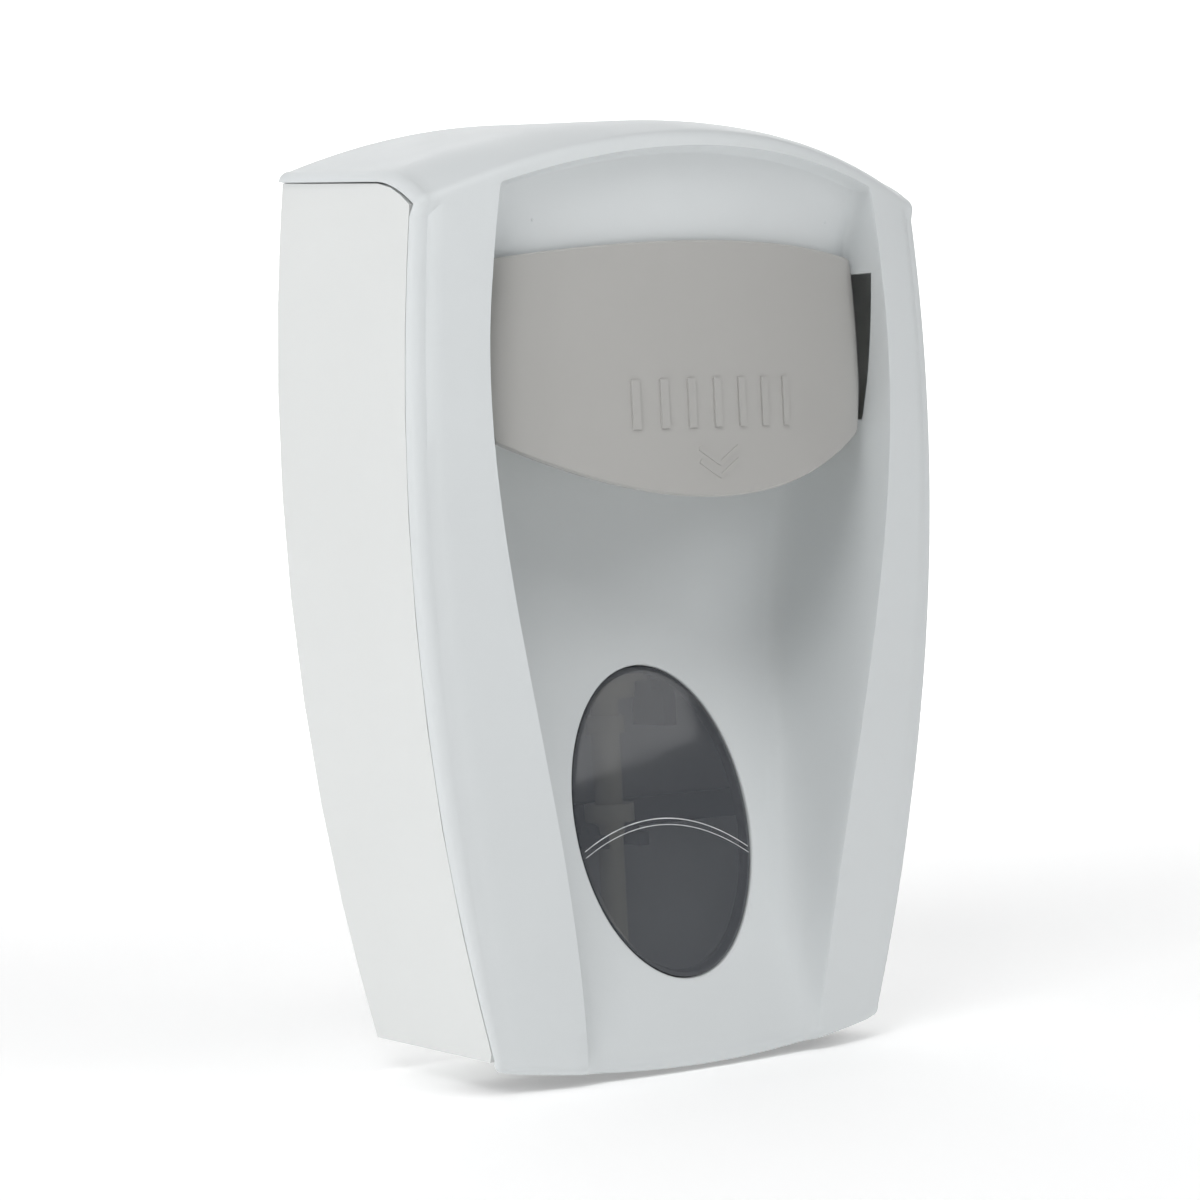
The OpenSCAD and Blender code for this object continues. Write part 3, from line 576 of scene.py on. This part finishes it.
# ---------------------------------------------------------------- push lever
LEVER_TOP, LEVER_BOTTOM, LEVER_WIDE_Z = 92.0, 24.0, 57.6
LEVER_LUG_X = (38.0, 42.6)
STUD_X, STUD_Z, STUD_R = 48.0, 52.0, 4.0
LEVER_LUG_BORE = 1.55
EDGE_Z = (40.5, 88.5)            # heights between which lever_edge is read
TOP_IN, TOP_RUN = 2.4, 31.0
LOW_IN, LOW_RUN, LOW_EASE = 2.9, 17.0, 0.3
END_RISE, END_FALL = 16.5, 3.5   # how much higher the lower edge and lower the top edge is at an end
LEVER_EASE = 0.55
LIP_V = (0.008, 0.992)
LEVER_COLS, LEVER_STEPS = 64, 40


def lever_edge(z):
    if z > LEVER_WIDE_Z:
        return LEVER_HALF_W - TOP_IN * ((z - LEVER_WIDE_Z) / TOP_RUN) ** 2
    drop = ((LEVER_WIDE_Z - z) / LOW_RUN) ** 2
    return LEVER_HALF_W - LOW_IN * drop / (1.0 + LOW_EASE * drop)


def lever_point(u, v, depth):
    """A point of the plate: u from end to end, v from the lower edge to the top one."""
    z = lerp(LEVER_BOTTOM + END_RISE * u * u, LEVER_TOP - END_FALL * u * u, v)
    x = u * lever_edge(lerp(*EDGE_Z, v))
    return (x, lever_face(x) - depth, z)


def lever_section(u, inset):
    """The plate's section at u: up its front, whose edges are eased, and down its back."""
    inner = [j / LEVER_STEPS for j in range(1, LEVER_STEPS)]
    front = [(v, inset) for v in [LIP_V[0]] + inner + [LIP_V[1]]]
    front = [(0.0, inset + LEVER_EASE)] + front + [(1.0, inset + LEVER_EASE)]
    back = [(j / LEVER_STEPS, LEVER_T) for j in range(LEVER_STEPS, -1, -1)]
    return [lever_point(u, v, depth) for v, depth in front + back]


def lever_plate(solid):
    sections = []
    for i in range(LEVER_COLS + 1):
        inset = LEVER_EASE if i in (0, LEVER_COLS) else 0.0
        sections.append(lever_section(lerp(-1.0, 1.0, i / LEVER_COLS), inset))
    solid.loft(sections)


STROKE_ROOT, STROKE_TOP = 0.3, 0.46


def strip(solid, path, width, height):
    """A raised flat stroke along a path of (x, z) points on the lever's face."""
    profile = [(-0.5, -STROKE_ROOT), (-0.5, 0.0), (-STROKE_TOP, height)]
    profile += [(-across, up) for across, up in reversed(profile)]
    sections = []
    for k, (x, z) in enumerate(path):
        a, b = path[max(k - 1, 0)], path[min(k + 1, len(path) - 1)]
        length = math.hypot(b[0] - a[0], b[1] - a[1])
        nx, nz = -(b[1] - a[1]) / length, (b[0] - a[0]) / length
        section = []
        for across, up in profile:
            px, pz = x + nx * across * width, z + nz * across * width
            section.append((px, lever_face(px) + up, pz))
        sections.append(section)
    solid.loft(sections)


def line(a, b, steps=8):
    return [(lerp(a[0], b[0], k / steps), lerp(a[1], b[1], k / steps)) for k in range(steps + 1)]


RIB_Z = (42.5, 55.5)
RIB_STEP, RIB_SIDE, RIB_W, RIB_RAISE = 8.0, 3, 2.4, 0.5
CHEVRONS = ((37.0, 32.8), (33.6, 29.4))  # heights of each one's ends and tip
CHEVRON_HALF_W, CHEVRON_LINE, CHEVRON_RAISE = 6.2, 1.3, 0.22


def grip_ribs():
    """Centre lines of the plain upright grip ribs across the lever."""
    places = [k * RIB_STEP for k in range(-RIB_SIDE, RIB_SIDE + 1)]
    return [line((x, RIB_Z[0]), (x, RIB_Z[1])) for x in places]


def chevron(top, tip):
    left = line((-CHEVRON_HALF_W, top), (0, tip), 5)
    return left + line((0, tip), (CHEVRON_HALF_W, top), 5)[1:]


def make_lever():
    solid = Solid()
    lever_plate(solid)
    for side in (-1, 1):
        a, b = mirrored(LEVER_LUG_X, side)
        tube(solid, "x", a, b, LEVER_PIVOT, LEVER_LUG_R, LEVER_LUG_BORE)
        height = (LEVER_PIVOT[1] - LEVER_LUG_R, LEVER_PIVOT[1] + 1.0)
        box(solid, (a, b), (LEVER_PIVOT[0] + 1.8, 80.6), height)
        rod(solid, "y", 64.0, 77.0, (side * STUD_X, STUD_Z), STUD_R)
    for path in grip_ribs():
        strip(solid, path, RIB_W, RIB_RAISE)
    for top, tip in CHEVRONS:
        strip(solid, chevron(top, tip), CHEVRON_LINE, CHEVRON_RAISE)
    return solid.build("lever_plate", sharp=30.0)


# ---------------------------------------------------------------- pump return spring
SPRING_R, SPRING_WIRE = 5.0, 0.5
SPRING_TURNS, SPRING_DEAD, SPRING_STEPS, WIRE_SIDES = 9, 0.5, 24, 10
PUMP_D = 26.0


def make_spring():
    """The pump's return spring: a round wire helix with a flat half turn at each end."""
    low, high = (corner[2] * 1000.0 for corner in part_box("pump_spring"))
    rings = []
    for k in range(SPRING_TURNS * SPRING_STEPS + 1):
        turn = k / SPRING_STEPS
        share = clamp01((turn - SPRING_DEAD) / (SPRING_TURNS - 2 * SPRING_DEAD))
        z = lerp(low + SPRING_WIRE, high - SPRING_WIRE, share)
        ca, sa = math.cos(2.0 * math.pi * turn), math.sin(2.0 * math.pi * turn)
        ring = []
        for m in range(WIRE_SIDES):
            b = 2.0 * math.pi * m / WIRE_SIDES
            r = SPRING_R + SPRING_WIRE * math.cos(b)
            ring.append((r * ca, PUMP_D + r * sa, z + SPRING_WIRE * math.sin(b)))
        rings.append(ring)
    solid = Solid()
    solid.loft(rings)
    return solid.build("return_spring")


def squash_spring(spring):
    """Gives the spring its own copy of its mesh; it does not shorten it."""
    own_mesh(spring)


# ---------------------------------------------------------------- window lens
LENS_CROWN = 1.2
LENS_GAP = 0.45
LENS_BEVEL, LENS_DROP = 0.975, 0.4
LENS_RINGS = [0.02, 0.15, 0.3, 0.45, 0.6, 0.72, 0.83, 0.9, LENS_BEVEL, 1.0]
LENS_SIDES = 128
ARC = (-63.65, -0.0731, -0.01214)
ARC_HALF_W, ARC_STEPS, ARC_SIDES, ARC_SINK, ARC_LIMIT = 27.4, 80, 8, 0.04, 0.985
LENS_ARCS = ((0.0, 0.17), (1.7, 0.14))   # how far each lies below the first, and its radius


def lens_point(j, a, depth):
    """A share j of the way to the lens's edge at angle a, on its front or a depth behind it."""
    x = j * (WINDOW_A - LENS_GAP) * math.cos(a)
    z = WINDOW_Z + j * (WINDOW_B - LENS_GAP) * math.sin(a)
    dome = LENS_CROWN * (1.0 - j * j)
    bevel = clamp01((j - LENS_BEVEL) / (1.0 - LENS_BEVEL)) if depth == 0 else 0.0
    return (x, ramp(z) + floor_crown(x, z) + dome - depth - LENS_DROP * bevel, z)


def lens_polar(x, z):
    across, up = x / (WINDOW_A - LENS_GAP), (z - WINDOW_Z) / (WINDOW_B - LENS_GAP)
    return math.hypot(across, up), math.atan2(up, across)


def make_lens():
    solid = Solid()
    angles = [2 * math.pi * k / LENS_SIDES for k in range(LENS_SIDES)]
    rings = [(j, 0.0) for j in LENS_RINGS] + [(j, SKIN) for j in reversed(LENS_RINGS)]
    solid.loft([[lens_point(j, a, depth) for a in angles] for j, depth in rings])
    return solid.build("sight_lens", sharp=12.0)


def arc_path(lower):
    """Centre line of one arc, where it lies on the lens."""
    path = []
    for k in range(ARC_STEPS + 1):
        x = lerp(-ARC_HALF_W, ARC_HALF_W, k / ARC_STEPS)
        j, a = lens_polar(x, ARC[0] + ARC[1] * x + ARC[2] * x * x - lower)
        if j < ARC_LIMIT:
            path.append(lens_point(j, a, 0.0))
    return path


def make_lens_arcs():
    """Two fine ribs moulded across the lens."""
    solid = Solid()
    turns = [2 * math.pi * k / ARC_SIDES for k in range(ARC_SIDES)]
    for lower, r in LENS_ARCS:
        rings = []
        for x, d, z in arc_path(lower):
            rings.append([(x, d - ARC_SINK + r * math.sin(t), z + r * math.cos(t)) for t in turns])
        solid.loft(rings)
    return solid.build("lens_ribs", sharp=80.0)


# ---------------------------------------------------------------- materials
NOISE_LOW, NOISE_HIGH = 0.3, 0.7         # the part of the noise's range that is used
GRAIN_SCALE, GRAIN_DEPTH = 2400.0, 0.00006
MARK_DEPTH = 0.00005
PLASTIC_IOR, LENS_IOR, LENS_ALPHA = 1.46, 1.49, 0.52


def new_material(name):
    mat = bpy.data.materials.new(name)
    mat.use_nodes = True
    return mat, mat.node_tree, mat.node_tree.nodes["Principled BSDF"]


def noise(tree, scale, detail, stretch=(1, 1, 1)):
    coords = tree.nodes.new("ShaderNodeTexCoord")
    place = tree.nodes.new("ShaderNodeMapping")
    place.inputs["Scale"].default_value = stretch
    tex = tree.nodes.new("ShaderNodeTexNoise")
    tex.inputs["Scale"].default_value = scale
    tex.inputs["Detail"].default_value = detail
    tree.links.new(coords.outputs["Object"], place.inputs["Vector"])
    tree.links.new(place.outputs["Vector"], tex.inputs["Vector"])
    return tex.outputs["Fac"]


def remap(tree, value, low, high):
    node = tree.nodes.new("ShaderNodeMapRange")
    node.inputs["From Min"].default_value = NOISE_LOW
    node.inputs["From Max"].default_value = NOISE_HIGH
    node.inputs["To Min"].default_value = low
    node.inputs["To Max"].default_value = high
    tree.links.new(value, node.inputs["Value"])
    return node.outputs["Result"]


def tint(tree, value, dark, light):
    ramp_node = tree.nodes.new("ShaderNodeValToRGB")
    ramp_node.color_ramp.elements[0].position = NOISE_LOW
    ramp_node.color_ramp.elements[1].position = NOISE_HIGH
    ramp_node.color_ramp.elements[0].color = (*dark, 1)
    ramp_node.color_ramp.elements[1].color = (*light, 1)
    tree.links.new(value, ramp_node.inputs["Fac"])
    return ramp_node.outputs["Color"]


def bump(tree, value, strength, distance):
    node = tree.nodes.new("ShaderNodeBump")
    node.inputs["Strength"].default_value = strength
    node.inputs["Distance"].default_value = distance
    tree.links.new(value, node.inputs["Height"])
    return node.outputs["Normal"]


def moulded(name, colour, roughness, grain, drift=0.012):
    """Satin moulded plastic: fine spark-eroded grain, faint drift in colour and gloss."""
    mat, tree, shader = new_material(name)
    dark = tuple(v * (1.0 - drift) for v in colour)
    light = tuple(min(1.0, v * (1.0 + drift)) for v in colour)
    tree.links.new(tint(tree, noise(tree, 14.0, 3.0), dark, light), shader.inputs["Base Color"])
    rough = remap(tree, noise(tree, 60.0, 4.0), roughness - 0.05, roughness + 0.05)
    tree.links.new(rough, shader.inputs["Roughness"])
    grain_bump = bump(tree, noise(tree, GRAIN_SCALE, 2.0), grain, GRAIN_DEPTH)
    tree.links.new(grain_bump, shader.inputs["Normal"])
    shader.inputs["IOR"].default_value = PLASTIC_IOR
    return mat


def steel(name):
    """Plated steel with fine drawing marks along x."""
    mat, tree, shader = new_material(name)
    marks = noise(tree, 900.0, 3.0, (0.06, 1, 1))
    colour = tint(tree, marks, (0.50, 0.51, 0.53), (0.66, 0.67, 0.69))
    tree.links.new(colour, shader.inputs["Base Color"])
    tree.links.new(remap(tree, marks, 0.22, 0.38), shader.inputs["Roughness"])
    tree.links.new(bump(tree, marks, 0.2, MARK_DEPTH), shader.inputs["Normal"])
    shader.inputs["Metallic"].default_value = 1.0
    return mat


def smoked(name):
    """Smoked clear plastic with faint handling marks in its gloss."""
    mat, tree, shader = new_material(name)
    colour = tint(tree, noise(tree, 40.0, 2.0), (0.112, 0.119, 0.132), (0.126, 0.133, 0.147))
    tree.links.new(colour, shader.inputs["Base Color"])
    tree.links.new(remap(tree, noise(tree, 90.0, 5.0), 0.03, 0.09), shader.inputs["Roughness"])
    shader.inputs["Alpha"].default_value = LENS_ALPHA
    shader.inputs["IOR"].default_value = LENS_IOR
    return mat


def rib_painted_highlight(name):
    """Pale colour on the fine ribs across the lens, a painted highlight: the ribs are moulded in the
    smoked lens, and the pale tone stands in for the light they catch.
    """
    mat, tree, shader = new_material(name)
    # painted highlight: pale tone on the ribs in place of the light they catch
    colour = tint(tree, noise(tree, 300.0, 2.0), (0.55, 0.56, 0.57), (0.80, 0.81, 0.82))
    tree.links.new(colour, shader.inputs["Base Color"])
    tree.links.new(remap(tree, noise(tree, 500.0, 2.0), 0.08, 0.2), shader.inputs["Roughness"])
    return mat


def set_material(obj, mat):
    if not obj.material_slots:
        obj.data.materials.append(mat)
        return
    for slot in obj.material_slots:
        slot.link = "OBJECT"
        slot.material = mat


# ---------------------------------------------------------------- smoother shading of CAD nodes
MERGE_DISTANCE = 0.000002
REAL_EDGE = math.radians(28.0)


def smoothing_group():
    """Joins split corners and smooths all but the real edges of a carried-over node."""
    group = bpy.data.node_groups.new("smooth_edges", "GeometryNodeTree")
    group.interface.new_socket("Geometry", in_out="INPUT", socket_type="NodeSocketGeometry")
    group.interface.new_socket("Geometry", in_out="OUTPUT", socket_type="NodeSocketGeometry")
    start = group.nodes.new("NodeGroupInput")
    end = group.nodes.new("NodeGroupOutput")
    plain = group.nodes.new("GeometryNodeRemoveAttribute")
    plain.inputs["Name"].default_value = "custom_normal"
    merge = group.nodes.new("GeometryNodeMergeByDistance")
    merge.inputs["Distance"].default_value = MERGE_DISTANCE
    faces = group.nodes.new("GeometryNodeSetShadeSmooth")
    faces.domain = "FACE"
    edges = group.nodes.new("GeometryNodeSetShadeSmooth")
    edges.domain = "EDGE"
    edges.inputs["Shade Smooth"].default_value = False
    angle = group.nodes.new("GeometryNodeInputMeshEdgeAngle")
    compare = group.nodes.new("FunctionNodeCompare")
    compare.operation = "GREATER_THAN"
    compare.inputs["B"].default_value = REAL_EDGE
    link = group.links.new
    link(start.outputs[0], plain.inputs["Geometry"])
    link(plain.outputs["Geometry"], merge.inputs["Geometry"])
    link(merge.outputs["Geometry"], faces.inputs["Geometry"])
    link(faces.outputs["Geometry"], edges.inputs["Geometry"])
    link(angle.outputs["Unsigned Angle"], compare.inputs["A"])
    link(compare.outputs["Result"], edges.inputs["Selection"])
    link(edges.outputs["Geometry"], end.inputs[0])
    return group


# ---------------------------------------------------------------- stage, light and camera
FLOOR_Z = -0.1313
FLOOR_GLOW = 0.24
FLOOR_NEAR, FLOOR_BEND, FLOOR_SIDE = -7.0, 1.4, 8.0
SWEEP_R, SWEEP_TOP = 1.2, 4.0


def make_floor():
    """A pale sweep: flat under the object, curving up far behind it."""
    points, faces = [], []
    profile = [(FLOOR_NEAR, 0.0), (FLOOR_BEND, 0.0)]
    for degrees in range(6, 91, 6):
        a = math.radians(degrees)
        profile.append((FLOOR_BEND + SWEEP_R * math.sin(a), SWEEP_R - SWEEP_R * math.cos(a)))
    profile.append((FLOOR_BEND + SWEEP_R, SWEEP_TOP))
    for y, z in profile:
        points += [(-FLOOR_SIDE, y, FLOOR_Z + z), (FLOOR_SIDE, y, FLOOR_Z + z)]
    for k in range(len(profile) - 1):
        faces.append((2 * k, 2 * k + 1, 2 * k + 3, 2 * k + 2))
    mesh = bpy.data.meshes.new("floor")
    mesh.from_pydata(points, [], faces)
    mesh.shade_smooth()
    floor = bpy.data.objects.new("floor", mesh)
    bpy.context.scene.collection.objects.link(floor)
    mat, tree, shader = new_material("pale_floor")
    colour = tint(tree, noise(tree, 3.0, 2.0), (0.94, 0.94, 0.94), (0.95, 0.95, 0.95))
    tree.links.new(colour, shader.inputs["Base Color"])
    shader.inputs["Roughness"].default_value = 0.9
    shader.inputs["Emission Color"].default_value = (1.0, 1.0, 1.0, 1.0)
    shader.inputs["Emission Strength"].default_value = FLOOR_GLOW
    set_material(floor, mat)


WORLD_COLOUR, WORLD_STRENGTH = (0.98, 0.99, 1.0, 1), 0.18
CENTRE = (0, -0.05, 0)
# Name, place, aim, size and power in watts
LIGHTS = (
    ("key", (-0.85, -0.75, 1.1), CENTRE, (0.7, 0.7), 7.2),
    ("side", (-1.6, 0.25, 0.3), CENTRE, (1.0, 1.2), 8.4),
    ("top_front", (0.05, -0.75, 1.45), CENTRE, (1.0, 0.6), 4.0),
    ("front_right", (0.65, -1.35, 0.85), CENTRE, (0.9, 0.7), 4.8),
    ("rear_right", (1.4, 1.0, 0.6), CENTRE, (1.0, 1.0), 3.0),
    ("back_sweep", (1.0, 0.9, 1.6), (1.6, 2.6, 0.6), (1.8, 1.0), 42.0),
)


def area_light(name, place, aim, size, power):
    light = bpy.data.lights.new(name, "AREA")
    light.shape = "RECTANGLE"
    light.size, light.size_y = size
    light.energy = power
    obj = bpy.data.objects.new(name, light)
    obj.location = place
    obj.rotation_euler = (Vector(aim) - Vector(place)).to_track_quat("-Z", "Y").to_euler()
    bpy.context.scene.collection.objects.link(obj)


def make_light():
    world = bpy.data.worlds.new("studio")
    bpy.context.scene.world = world
    bpy.context.scene.view_settings.view_transform = "Standard"
    world.use_nodes = True
    background = world.node_tree.nodes["Background"]
    background.inputs["Color"].default_value = WORLD_COLOUR
    background.inputs["Strength"].default_value = WORLD_STRENGTH
    for light in LIGHTS:
        area_light(*light)


CAM_TARGET = (-0.0164, -0.0529, -0.0025)
CAM_DIST = 0.8706
CAM_AZIMUTH, CAM_ELEVATION, CAM_ROLL = math.radians(-31.86), math.radians(1.46), -0.0495
CAM_LENS = 95.7


def make_camera():
    ca, sa = math.cos(CAM_AZIMUTH), math.sin(CAM_AZIMUTH)
    ce, se = math.cos(CAM_ELEVATION), math.sin(CAM_ELEVATION)
    back = Vector((sa * ce, -ca * ce, se))
    right = Vector((ca, sa, 0.0))
    up = back.cross(right)
    cr, sr = math.cos(CAM_ROLL), math.sin(CAM_ROLL)
    axis_x = cr * right + sr * up
    axis_y = cr * up - sr * right
    data = bpy.data.cameras.new("camera")
    data.lens = CAM_LENS
    data.sensor_width = 36.0
    camera = bpy.data.objects.new("camera", data)
    rotation = Matrix((axis_x, axis_y, back)).transposed().to_4x4()
    camera.matrix_world = Matrix.Translation(Vector(CAM_TARGET) + CAM_DIST * back) @ rotation
    bpy.context.scene.collection.objects.link(camera)
    bpy.context.scene.camera = camera


# ---------------------------------------------------------------- the scene
make_camera()
make_light()
make_floor()

materials = {
    "cover_plastic": moulded("cover_plastic", (0.690, 0.718, 0.726), 0.46, 0.30),
    "housing_plastic": moulded("housing_plastic", (0.720, 0.735, 0.728), 0.50, 0.35),
    "lever_plastic": moulded("lever_plastic", (0.435, 0.430, 0.415), 0.40, 0.20),
    "cream_plastic": moulded("cream_plastic", (0.90, 0.86, 0.69), 0.42, 0.15),
    "bottle_plastic": moulded("bottle_plastic", (0.80, 0.82, 0.83), 0.25, 0.10),
    "steel": steel("steel"),
    "dark_plastic": moulded("dark_plastic", (0.030, 0.031, 0.035), 0.45, 0.15),
    "smoked_lens": smoked("smoked_lens"),
}

smooth = smoothing_group()
for entry in frame["record"]["subparts"]:
    node = frame["nodes"][entry["node"]]
    set_material(node, materials[entry["material_slot"]])
    node.modifiers.new("smooth", "NODES").node_group = smooth

PIECES = (
    (make_cover, "cover", "front_cover", "cover_plastic"),
    (make_lever, "lever", "push_lever", "lever_plastic"),
    (make_lens, "cover", "window_lens", "smoked_lens"),
    (make_spring, "housing", "pump_spring", "steel"),
)
built = {}
for make, body, replaced, slot_name in PIECES:
    piece = make()
    set_material(piece, materials[slot_name])
    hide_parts(replaced)
    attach(piece, body)
    built[replaced] = piece

squash_spring(built["pump_spring"])
arcs = make_lens_arcs()
# the lens ribs get a painted highlight in their colour
set_material(arcs, rib_painted_highlight("rib_painted_highlight"))
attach(arcs, "cover")
